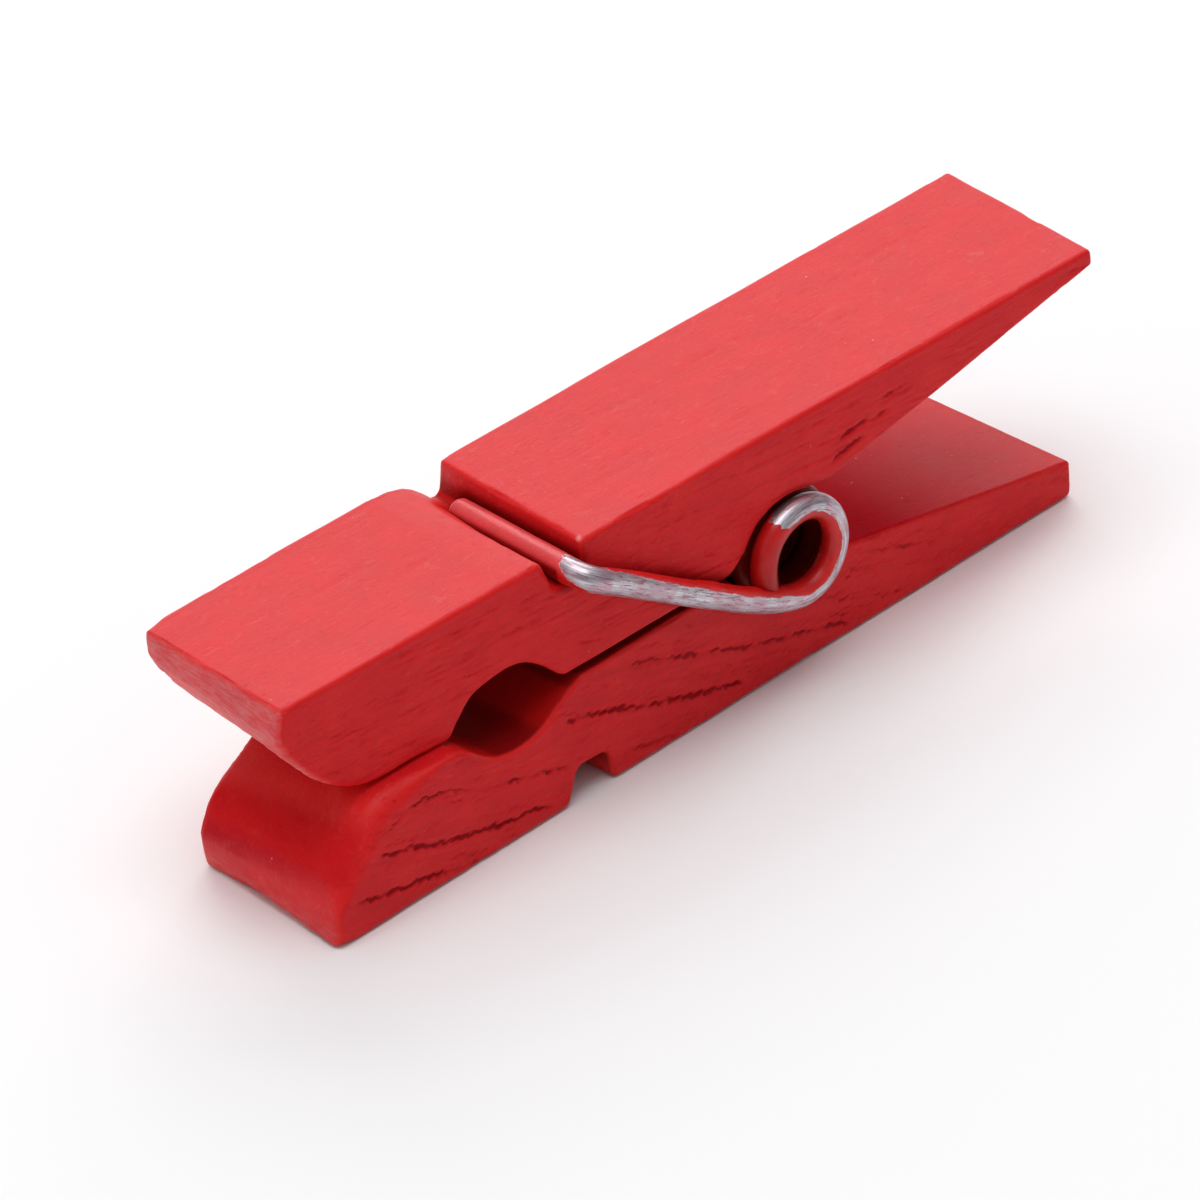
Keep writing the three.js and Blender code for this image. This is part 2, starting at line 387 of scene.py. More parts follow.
# ---------------------------------------------------------------- open grain
# Long open pores on the near side of each lever, in its own axes:
# (half width, depth from 0 to 1, the (x, z) points the pore runs through).
PORES_LOWER = [
    (0.075, 0.8, [
        (-18.8, 3.07), (-18.4, 3.46), (-17.7, 3.68), (-17.1, 3.67), (-16.1, 3.43), (-15.3, 3.09),
        (-14.6, 2.7), (-13.7, 2.43), (-12.8, 2.23), (-11.6, 1.87), (-10.6, 1.52)]),
    (0.1, 1.0, [
        (-19.2, 2.55), (-18.6, 2.32), (-17.9, 2.2), (-17.0, 1.81), (-16.3, 1.57), (-15.6, 1.41),
        (-15.0, 1.22), (-14.4, 1.12), (-13.8, 0.93), (-13.1, 0.81), (-12.4, 0.76), (-11.4, 0.43)]),
    (0.095, 0.9, [
        (-20.3, 1.28), (-19.8, 1.19), (-18.8, 0.94), (-18.0, 0.78), (-17.5, 0.74),
        (-17.0, 0.61), (-16.4, 0.45), (-15.5, 0.25), (-14.9, 0.17)]),
    (0.1, 1.0, [
        (-10.5, 3.21), (-9.9, 3.12), (-9.0, 2.81), (-8.1, 2.53), (-7.2, 2.14), (-6.2, 1.82),
        (-5.5, 1.62), (-4.9, 1.35), (-4.2, 1.19), (-3.5, 0.98), (-2.3, 0.62)]),
    (0.085, 0.75, [
        (-7.5, 3.95), (-6.6, 3.67), (-5.2, 3.09), (-4.3, 2.74), (-3.4, 2.46), (-2.2, 1.91),
        (-1.3, 1.67), (-0.1, 1.3), (1.3, 0.9), (2.7, 0.42)]),
    (0.07, 0.55, [(-8.2, 0.72), (-7.3, 0.59), (-6.3, 0.39), (-5.5, 0.24)]),
    (0.05, 0.35, [(-2.5, 3.23), (-2.9, 2.99), (-3.5, 2.91), (-4.3, 3.12)]),
    (0.05, 0.35, [(-7.0, 4.4), (-5.8, 3.96), (-4.7, 3.42)]),
    (0.08, 0.5, [(3.1, 3.01), (4.3, 2.49), (5.8, 1.9), (7.0, 1.49)]),
    (0.06, 0.5, [(2.4, 2.44), (3.7, 1.82)]),
    (0.08, 0.55, [(1.8, 1.74), (3.3, 1.13), (4.7, 0.54), (5.4, 0.37)]),
    (0.06, 0.5, [(1.6, 1.21), (3.1, 0.63)]), (0.07, 0.4, [(8.1, 1.01), (9.3, 0.69), (10.6, 0.25)]),
    (0.06, 0.35, [(-5.3, 2.26), (-4.3, 1.87), (-3.0, 1.35), (-1.6, 0.95), (-0.1, 0.53)]),
    (0.055, 0.35, [(-16.4, 2.57), (-17.2, 2.41)]), (0.055, 0.4, [(-15.1, 3.35), (-14.3, 3.11)]),
    (0.055, 0.4, [(-15.1, 2.6), (-14.4, 2.48)]),
]
PORES_UPPER = [
    (0.07, 0.35, [(-16.6, 0.4), (-15.7, 0.5)]), (0.07, 0.4, [(-15.2, 0.79), (-14.2, 0.92)]),
    (0.08, 0.35, [(-15.9, 2.09), (-15.2, 2.25)]), (0.07, 0.35, [(-19.2, 1.39), (-18.6, 1.43)]),
    (0.08, 0.4, [(-16.8, 2.59), (-16.0, 2.68)]), (0.07, 0.45, [(-14.5, 3.06), (-13.5, 3.33)]),
    (0.07, 0.35, [(-11.3, 2.11), (-10.4, 2.41)]), (0.07, 0.3, [(-11.8, 1.31), (-10.8, 1.43)]),
    (0.07, 0.4, [(-9.6, 3.63), (-8.2, 4.12)]), (0.07, 0.35, [(-8.4, 3.3), (-7.2, 3.66)]),
    (0.07, 0.3, [(-18.9, 2.64), (-18.0, 2.8)]), (0.1, 0.75, [(1.9, 2.42), (2.7, 2.25), (3.4, 2.12)]),
    (0.11, 0.8, [(2.3, 1.77), (2.9, 1.66), (3.7, 1.6)]), (0.08, 0.5, [(0.6, 2.04), (1.2, 2.06)]),
    (0.09, 0.65, [(3.6, 1.78), (4.6, 1.65)]), (0.08, 0.55, [(4.2, 1.14), (5.3, 1.07)]),
    (0.07, 0.35, [(0.2, 1.15), (1.2, 1.17)]), (0.06, 0.35, [(-3.9, 3.26), (-3.0, 3.43)]),
    (0.06, 0.35, [(-6.1, 3.11), (-5.3, 3.24)]),
]


def random_pores(seed, slope, count, strength):
    """Short broken pores that run with the grain."""
    rng = np.random.default_rng(seed)
    out = []
    for _ in range(count):
        x, z = rng.uniform(-20.5, 13.0), rng.uniform(0.3, 4.6)
        length = rng.uniform(0.5, 3.2)
        bend = rng.normal(0, 0.02)
        run = [(x + length * k / 4,
                z + (slope + bend * (k - 2)) * length * k / 4 + rng.normal(0, 0.025))
               for k in range(5)]
        out.append((rng.uniform(0.045, 0.085), strength * rng.uniform(0.3, 1.0), run))
    return out


def pore_depth(x, z, pores, seed, slope=0.0):
    """How deep the pores are at the points, 0 to 1, with ragged, broken edges."""
    jag = xyz(x * 3.2, z * 5.0, 0.0)
    ragged_x = x + 0.09 * noise(jag, seed)
    dash = x / 0.47 + 0.8 * noise(xyz(x * 0.8, z * 0.9, 0.0), seed + 6)
    ragged_z = z + slope * 0.33 * (dash - np.floor(dash) - 0.5) + 0.05 * noise(jag * 2.1, seed + 5)
    depth = np.zeros(len(x))
    for number, (width, strength, run) in enumerate(pores):
        run = np.array(run)
        low, high = run.min(0) - 0.5, run.max(0) + 0.5
        pick = np.nonzero((ragged_x > low[0]) & (ragged_x < high[0])
                          & (ragged_z > low[1]) & (ragged_z < high[1]))[0]
        if not len(pick):
            continue
        near_x, near_z = ragged_x[pick], ragged_z[pick]
        gap = np.full(len(pick), 9e8)
        for start, end in zip(run[:-1], run[1:]):
            side = end - start
            from_x, from_z = near_x - start[0], near_z - start[1]
            share = np.clip((from_x * side[0] + from_z * side[1]) / (side @ side), 0, 1)
            gap = np.minimum(gap, np.hypot(from_x - side[0] * share, from_z - side[1] * share))
        along = xyz(near_x * 1.9, 0.0, 0.0) + 7.7 * number
        half_width = np.maximum(width * (1.0 + 0.45 * noise(along, seed + 11)), 0.02)
        fade = rise(near_x - run[:, 0].min(), -0.15, over=0.5)
        fade = fade * rise(run[:, 0].max() - near_x, -0.15, over=0.5)
        broken = 0.35 + 0.65 * smooth(0.75 + 1.3 * noise(along * 1.37, seed + 12))
        here = strength * fade * broken * np.clip(1.25 - gap / half_width, 0, 1)
        depth[pick] = np.maximum(depth[pick], here)
    return depth


# ---------------------------------------------------------------- meshes and attributes
def add(name, data):
    obj = bpy.data.objects.new(name, data)
    bpy.context.scene.collection.objects.link(obj)
    return obj


def quad_object(name, points, quads):
    mesh = bpy.data.meshes.new(name)
    mesh.vertices.add(len(points))
    mesh.vertices.foreach_set("co", np.asarray(points, np.float32).ravel())
    mesh.loops.add(quads.size)
    mesh.loops.foreach_set("vertex_index", quads.astype(np.int32).ravel())
    mesh.polygons.add(len(quads))
    mesh.polygons.foreach_set("loop_start", (np.arange(len(quads)) * 4).astype(np.int32))
    mesh.polygons.foreach_set("loop_total", np.full(len(quads), 4, np.int32))
    mesh.polygons.foreach_set("use_smooth", np.ones(len(quads), bool))
    mesh.update(calc_edges=True)
    mesh.validate()
    return add(name, mesh)


def put_attributes(obj, **named):
    """Point attributes for the materials: vectors for (n, 3) values, floats for others."""
    for name, values in named.items():
        values = np.asarray(values, np.float32)
        kind, key = ("FLOAT_VECTOR", "vector") if values.ndim == 2 else ("FLOAT", "value")
        attribute = obj.data.attributes.new(name, kind, "POINT")
        attribute.data.foreach_set(key, values.ravel())


# ---------------------------------------------------------------- levers
def own_to_product(points, upper):
    """From a lever's own axes to the product's frame."""
    x, y, z = points.T
    x = x - SKEW_X
    x, y = (SKEW_X + x * math.cos(SKEW) - y * math.sin(SKEW),
            x * math.sin(SKEW) + y * math.cos(SKEW))
    if not upper:
        return xyz(x, y, z)
    z = z - AXIS_Z
    x, z = x * COS_TILT + z * SIN_TILT, -x * SIN_TILT + z * COS_TILT
    return middle_to_product(x, -y, -z)


def with_paint_bead(field, x, across, z):
    """The upper lever's field with paint drawn up round the spring's crossbar."""
    low = 0.27 * rise(across, -1.4, over=3.2)
    past_end = np.maximum(across - 1.75, 0)
    past_start = np.maximum(-3.15 - across, 0)
    bead = np.sqrt((x + 9.317) ** 2 + (z - 0.792 - low) ** 2
                   + past_end ** 2 + (2.5 * past_start) ** 2) - 0.35
    soft = 0.2               # width of the blend between bead and wood
    share = np.clip(0.5 + 0.5 * (bead - field) / soft, 0, 1)
    joined = bead * (1 - share) + field * share - soft * share * (1 - share)
    return np.where((x > -10.6) & (x < -8.2), joined, field)


def lever_field(upper, seed):
    """Signed distance to a lever: its two side outlines blended across, edges rounded."""
    near, far = Profile(outline(upper, far=False)), Profile(outline(upper, far=True))
    far_half = FAR_HALF if upper else HALF

    def field(points):
        x, y, z = points.T
        across = -y if upper else y
        share = np.clip((across + HALF) / (2 * HALF), 0, 1)
        if upper:
            share = share ** 0.75
        flat = near.at(x, z) * (1 - share) + far.at(x, z) * share
        nose, tip = fall(x, -18.0, over=2.0), fall(x, -20.3, over=1.0)
        close, away = rise(-across, 0.5, over=2.0), rise(across, 0.5, over=2.0)
        # edge radius: wavering, and larger round the nose
        radius = 0.18 + 0.05 * noise(points * (0.45, 0.2, 0.5), seed)
        if upper:
            radius = (radius + nose * rise(z, 0.7, over=0.9) * (0.2 * close + 0.2 * away)
                      + 0.12 * nose * away + 0.3 * tip * away)
            radius = radius + 0.1 * away * np.exp(-((x + 8.7) / 0.35) ** 2)
        else:
            worn = rise(z, 0.9, over=1.4) * (0.72 * close + 0.2 * away)
            radius = radius + fall(x, -16.0, over=2.5) * worn + 0.14 * nose * away
            radius = radius + 0.22 * tip * fall(z, 1.3, over=0.8) * (close + away)
        flat = flat + radius
        wide = np.where(across > 0, across - far_half, -across - HALF) + radius
        rounded = (np.minimum(np.maximum(flat, wide), 0)
                   + np.hypot(np.maximum(flat, 0), np.maximum(wide, 0)) - radius)
        return with_paint_bead(rounded, x, across, z) if upper else rounded

    return field


def lever_grid():
    step_x, step_y, step_z = ((0.125, 0.14, 0.056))
    places_x = [-21.5, -10.4, -9.3, -8.8, 13.5]
    places_y = [-3.5, 3.5, -3.62, 3.62]
    return (grid_lines(-22.2, 14.0, 0.07, step_x, places_x, reach=0.4),
            grid_lines(-3.9, 3.9, 0.06, step_y, places_y, reach=0.25),
            grid_lines(-0.3, 5.65, 0.045, step_z, [0.0], reach=0.2))


def lever_pores(upper, seed, points, near, far, outer):
    """Pore depth all over a lever, deepest on the sides."""
    x, y, z = points.T
    slope = 0.1 if upper else -0.33
    main = PORES_UPPER if upper else PORES_LOWER
    far_runs = [(width, depth, [(px + 0.9, pz + 0.3 if upper else 4.5 - pz) for px, pz in run])
                for width, depth, run in main]
    # those of the outer face run straight along the lever; their second value is y
    face_runs = [(width, depth, [(px, py - 2.4) for px, py in run])
                 for width, depth, run in random_pores(seed + 4, 0.02, count=45, strength=0.22)]
    small_near = random_pores(seed + 2, slope, count=150, strength=0.4)
    small_far = random_pores(seed + 7, -slope, count=120, strength=0.8)
    pore = near * np.maximum(pore_depth(x, z, main, seed + 1, slope),
                             pore_depth(x, z, small_near, seed + 3, slope))
    pore = np.maximum(pore, far * np.maximum(
        pore_depth(x, z, small_far, seed + 8, -slope),
        0.9 * pore_depth(x, z, far_runs, seed + 9, -slope)))
    return np.maximum(pore, outer * pore_depth(x, y, face_runs, seed + 5))


def wire_contact(x, placed, wire_line):
    """Painted shade on wood beside the spring's wire: 1 where it lies against the wire, falling off
    with distance from the wire's centre line.
    """
    contact = np.zeros(len(x))
    close = np.nonzero((x > -11.2) & (x < 3.2))[0]
    for part in np.array_split(close, 60):
        gap = np.full(len(part), 9.0)
        for k in range(0, len(wire_line), 200):
            offset = placed[part][:, None, :] - wire_line[None, k:k + 200, :]
            gap = np.minimum(gap, np.sqrt((offset ** 2).sum(2)).min(1))
        contact[part] = fall(gap, 1.0, over=0.5)
    return contact


def build_lever(name, upper, wire_line):
    seed = 100 if upper else 200
    points, quads, normals = surface_net(lever_field(upper, seed), *lever_grid())
    x, y, z = points.T
    across = -y if upper else y      # from the near side to the far side

    upright = np.abs(normals[:, 1])
    near = rise(-across, 3.1, over=0.3) * rise(upright, 0.5, over=0.4)
    far = rise(across, 3.1, over=0.3) * rise(upright, 0.5, over=0.4)
    sides = near + far
    outer = rise(-normals[:, 2], 0.5, over=0.4)
    inner = rise(normals[:, 2], 0.55, over=0.3)
    nose = rise(-normals[:, 0], 0.25, over=0.45) * fall(x, -19.2, over=0.8)
    edge = fall(np.max(np.abs(normals), axis=1), 0.985, over=0.12)
    pore = lever_pores(upper, seed, points, near, far, outer)

    # slow waves of the planed wood, ridges between soft and hard grain, and the paint's own skin
    lean = 0.06 if upper else -0.33
    along, over_grain = x + lean * z, z - lean * x
    bands = fbm(xyz(along * 0.16, over_grain * 2.3, across * 0.4), 3, seed + 20)
    fine = fbm(xyz(along * 0.9, over_grain * 7.0, across * 7.0 * (1 - sides)), 2, seed + 21)
    top_bands = fbm(xyz(x * 0.22, y * 2.1, 0.0), 3, seed + 22)
    lift = -0.1 * pore
    lift += sides * (0.016 * bands + 0.009 * fine)
    lift += (1 - sides) * (0.01 * top_bands + 0.004 * fine)
    lift += 0.012 * noise(points * (0.35, 0.4, 0.5), seed + 23)
    # the sawn end grain of the nose is rougher, and its inner rim is ragged
    lift += nose * (0.022 * fbm(points * (2.0, 3.2, 1.3), 3, seed + 24)
                    + 0.02 * noise(xyz(0.0, y * 1.6, z * 4.5), seed + 25))
    if upper:
        rim = np.exp(-((z - 2.35) / 0.5) ** 2) * fall(x, -20.3, over=0.5)
        torn = np.abs(fbm(xyz(y * 2.6, z * 0.7, 0.0), 3, seed + 26))
        lift += rim * 0.06 * torn - rim * 0.035
    # small dents along the edges
    lift -= edge * 0.035 * rise(noise(points * 1.3, seed + 27), 0.35, over=0.4)

    placed = own_to_product(points + normals * lift[:, None], upper)

    # painted shade on the inner face between notch and coil, and in the crossbar groove
    hidden = (rise(x, -15.2, over=0.5) * fall(x, 2.1, over=0.5)
              * rise(z, 2.2, over=0.5) * fall(upright, 0.75, over=0.4))
    groove = (rise(x, -9.35, over=0.25) * fall(x, -8.5, over=0.1)
              * rise(z, 0.3, over=0.6) * fall(z, 2.6, over=0.3) * (1 - sides))
    glint = np.zeros(len(points))
    dusk = np.zeros(len(points))
    if upper:
        pale_rim = nose * rise(z, 1.75, over=0.6)
        # painted highlights: small pale spots on two corners, with ragged rims
        ragged = 0.05 * noise(points * 6, seed + 40)
        for spot_x, spot_across, spot_z in ((-21.3, -3.36, 0.12), (-8.62, -3.3, 0.04)):
            gap = np.sqrt((x - spot_x) ** 2 + (across - spot_across) ** 2
                          + (1.6 * (z - spot_z)) ** 2)
            glint = np.maximum(glint, smooth(1.4 - (gap + ragged) / 0.11))
    else:
        pale_rim = nose * fall(z, 0.95, over=0.5)
        # painted shade where the upper lever shades the lower: on the nose above its crease, and on
        # the inner handle face, most near the coil
        crease = 1.7 - 0.85 * (across + HALF) / (2 * HALF)
        dusk = 0.8 * nose * rise(z - crease, -0.3, over=1.1)
        handle = (0.95 - 0.72 * rise(x, 4.5, over=12.5)) * rise(x, 0.6, over=1.0)
        dusk = np.maximum(dusk, inner * handle)

    lever = quad_object(name, placed * MM, quads)
    put_attributes(
        lever,
        contact=wire_contact(x, placed, wire_line),
        loc=points,
        pore=np.clip(pore, 0, 1),
        edge=edge,
        side=sides,
        nose=nose,
        rim=pale_rim,
        tone=0.5 + 0.5 * np.where(sides > 0.5, bands, top_bands),
        lean=np.full(len(points), lean),
        hidden=np.maximum(hidden, 0.8 * groove),
        dusk=dusk,
        glint=glint,
        inner=inner,
    )
    return lever


# ---------------------------------------------------------------- spring
WIRE_R = 0.45
COIL_R = 1.622
COIL_Y = 3.95                      # coil axis middle to the centre line of its end turns
TURNS = 8
START_ANGLE = math.radians(-95)    # where the coil meets the upper arm
# the crossbar on the upper lever, its cut end, and its corner with the arm
BAR_X, BAR_Z, BAR_END_Y, BAR_CORNER_Y = -9.42, 4.0, 1.95, -4.3
BAR_END_DROP = 0.22
BEND_R = 0.8
# the arm bows a little between its crossbar and the coil: (x, y, z) in the middle frame
ARM_LINE = np.array([
    (-9.02, -4.29, 3.71), (-8.16, -4.27, 3.1), (-6.43, -4.21, 1.94), (-4.7, -4.17, 0.79),
    (-3.8, -4.15, 0.23), (-3.14, -4.12, -0.21), (-1.47, -4.03, -1.155),
])
BAR, BEND, ARM, COIL = range(4)    # kinds of place along the wire
FLIP = np.array([1, -1, -1])       # turns the upper lever's half of the spring into the other
PALE_UP = np.array([-0.2, -0.35, 0.91])    # the way the crossbar's top faces: for its painted sheen, the painted shade low on it, and its wear near the bend


def coil_line():
    """The coil's centre line, its turns from the start at each point, and all its turns."""
    sweep = TURNS * 2 * math.pi - 2 * START_ANGLE
    whole = sweep / (2 * math.pi)
    count = int(sweep * COIL_R / 0.11)
    share = np.linspace(0, 1, count)
    turns = whole * share
    # the end turns lie flat for three quarters of a turn, then step in by one pitch
    near = np.minimum(turns, whole - turns)
    lag = (whole - TURNS) / 2
    saw = np.interp(near - np.floor(near), [0, 0.75, 0.82, 1.0],
                    [lag, lag - 0.75, lag - 0.72, lag])
    pitches = near - lag + (1 - rise(near, 0.8, over=whole / 2 - 0.8)) * saw
    width = max(3, int(0.07 / (whole / count)) | 1)
    padded = np.pad(pitches, width, mode="edge")
    pitches = np.convolve(padded, np.ones(width) / width, "same")[width:-width]
    pitches = np.where(turns > whole / 2, TURNS - pitches, pitches)
    y = -COIL_Y + 2 * COIL_Y / TURNS * pitches
    angle = START_ANGLE + sweep * share
    radius = COIL_R + 0.02 * noise(xyz(angle * 0.7, 0.0, 0.0), 5)
    return xyz(radius * np.cos(angle), y, radius * np.sin(angle)), turns, whole


def through(before, start, end, after):
    """Points from start up to end on a centripetal Catmull-Rom curve."""
    t1 = np.linalg.norm(start - before) ** 0.5
    t2 = t1 + np.linalg.norm(end - start) ** 0.5
    t3 = t2 + np.linalg.norm(after - end) ** 0.5

    def between(time, early, late, first, second):
        return ((late - time) / (late - early) * first
                + (time - early) / (late - early) * second)

    count = max(2, int(np.linalg.norm(end - start) / 0.13))
    out = []
    for time in t1 + (t2 - t1) * np.arange(count) / count:
        one = between(time, 0.0, t1, before, start)
        two = between(time, t1, t2, start, end)
        three = between(time, t2, t3, end, after)
        one, two = between(time, 0.0, t2, one, two), between(time, t1, t3, two, three)
        out.append(between(time, t1, t2, one, two))
    return out


def lead(coil_points):
    """The upper crossbar, bend and arm as far as the coil, whose two points steer the end.

    Returns the points and each one's (kind, share of that kind's run).
    """
    skew = math.tan(SKEW)
    corner = np.array([BAR_X + skew * BAR_CORNER_Y, BAR_CORNER_Y, BAR_Z])
    start = np.array([BAR_X + skew * BAR_END_Y, BAR_END_Y, BAR_Z - BAR_END_DROP])
    bar, arm = unit(start - corner), unit(ARM_LINE[1] - corner)
    turn = math.acos(float(np.clip(-(bar @ arm), -1, 1)))
    back = BEND_R * math.tan(turn / 2)
    bend_start, bend_end = corner + bar * back, corner + arm * back
    inward = unit((bend_start + bend_end) / 2 - corner)
    centre = corner + inward * math.hypot(BEND_R, back)

    count = int(np.linalg.norm(bend_start - start) / 0.14)
    points = [start + (bend_start - start) * i / count for i in range(count)]
    tags = [(BAR, i / count) for i in range(count)]
    for i in range(16):
        points.append(arc_point(centre, bend_start - centre, bend_end - centre, turn, i / 16))
        tags.append((BEND, i / 16))
    keys = [bend_end - arm * 0.5, bend_end]
    keys += [key for key in ARM_LINE
             if np.linalg.norm(key - bend_end) > 0.6 and key[0] > bend_end[0]]
    keys += list(coil_points)
    run = []
    for i in range(1, len(keys) - 2):
        run += through(*keys[i - 1:i + 3])
    tags += [(ARM, i / len(run)) for i in range(len(run))]
    return np.array(points + run), tags


def spring_line():
    """Along the wire in the middle frame: points, kinds, shares, which are in the lower
    lever's half, and how far each goes with the upper lever.

    In the coil the share is the number of turns from its nearer end.
    """
    coil, turns, whole = coil_line()
    first, first_tags = lead(coil[[0, 6]])
    last, last_tags = lead(coil[[-1, -7]] * FLIP)
    points = np.concatenate([first, coil, (last * FLIP)[::-1]])
    coil_tags = [(COIL, near) for near in np.minimum(turns, whole - turns)]
    kind, share = np.array(first_tags + coil_tags + last_tags[::-1]).T
    ones, zeros = np.ones(len(first)), np.zeros(len(last))
    second = np.concatenate([ones == 0, turns >= whole / 2, zeros == 0])
    follow = np.concatenate([ones, 1 - np.linspace(0, 1, len(coil)), zeros])
    return points, kind, share, second, follow


def wire_wear(places, centre, tangent, dirs, kind, share):
    """How bare the wire is, with its painted shade and painted sheen, on each ring of its surface.

    All but places are mirrored into the upper lever's half.
    """
    bar, arm, coil = ((kind == which)[:, None] for which in (BAR, ARM, COIL))
    lead_end = (kind <= BEND)[:, None]

    def patches(scale, octaves, seed):
        return fbm(places * scale, octaves, seed).reshape(dirs.shape[:2])

    # paint is worn off where the surface faces out from the coil and to the near side
    flat = unit(tangent * (1, 0, 1), least=1e-6)
    from_axis = centre * (1, 0, 1)
    out = xyz(-flat[:, 2], 0.0, flat[:, 0])
    out *= np.where((out * from_axis).sum(1) < 0, -1.0, 1.0)[:, None]
    worn_way = unit(out * 0.95 + np.array([0, -0.3, 0]))
    upward = dirs @ PALE_UP
    facing = np.where(lead_end, upward, (dirs * worn_way[:, None, :]).sum(2))

    ragged = share[:, None] + np.where(coil, 0.03, 0.09) * patches(1.7, 3, 50)
    ragged = ragged + np.where(coil, 0.035, 0.1) * patches(4.2, 2, 57)
    late = rise(share, 0.47, over=0.08)[:, None]
    ragged = ragged + np.where(coil, 0.012 * np.clip(facing, 0, 1) * late, 0.0)

    # the wire is bare where facing is above a limit, which changes along each kind
    bar_limit = np.interp(ragged, [0, 0.88, 0.95, 1.0], [1.6, 1.5, 0.95, 0.7])
    bend_limit = np.interp(ragged, [0, 0.15, 0.45, 0.7, 1], [0.7, 0.45, 0.1, -0.4, -0.95])
    arm_limit = np.interp(ragged, [0, 0.25, 0.6, 0.8, 1], [-0.8, -0.53, -0.36, -0.33, -0.1])
    degrees = (-95, -60, -45, 0, 22, 45, 80, 95, 105, 112, 120, 128, 137)
    coil_limit = np.interp(
        ragged, [(angle + 95) / 360 for angle in degrees],
        [-0.1, 0.0, 0.0, 0.02, -0.05, 0.04, 0.32, 0.3, 0.24, 0.34, 0.52, 0.82, 1.4])
    limit = np.where(coil, coil_limit, np.where(arm, arm_limit, bend_limit))
    limit = np.where(bar, bar_limit, limit)
    bare = np.clip((facing - limit) / 0.3 + 0.4 * patches(1.1, 3, 51), -1, 1)
    # small rubbed flecks on the end turns
    rubbed = coil & ((share > 0.1) & (share < 0.5))[:, None] & (facing > 0.0)
    flecks = np.clip((patches(2.4, 2, 52) - 0.62) / 0.08, -1, 1)
    bare = 0.5 + 0.5 * np.maximum(bare, np.where(rubbed, flecks, -1.0))

    # shade inside the coil, over its middle turns, and low on the crossbar
    inward = -(dirs * from_axis[:, None, :]).sum(2) / COIL_R
    deep = rise(inward, 0.05, over=0.5) * rise(share, 0.3, over=0.4)[:, None] * coil
    turn_shade = np.interp(share, [0.55, 0.66, 0.8, 0.92, 1.0], [0, 0.22, 0.42, 0.6, 0.78])
    deep = np.maximum(deep, turn_shade[:, None] * coil)
    low = fall(upward, 0.68, over=0.28) * rise(-dirs[:, :, 0], 0.1, over=0.3)
    deep = np.maximum(deep, 0.7 * low * bar)
    # the third value is a painted sheen where the crossbar and bend face up
    return bare, deep, rise(upward, 0.2, over=0.6) * lead_end


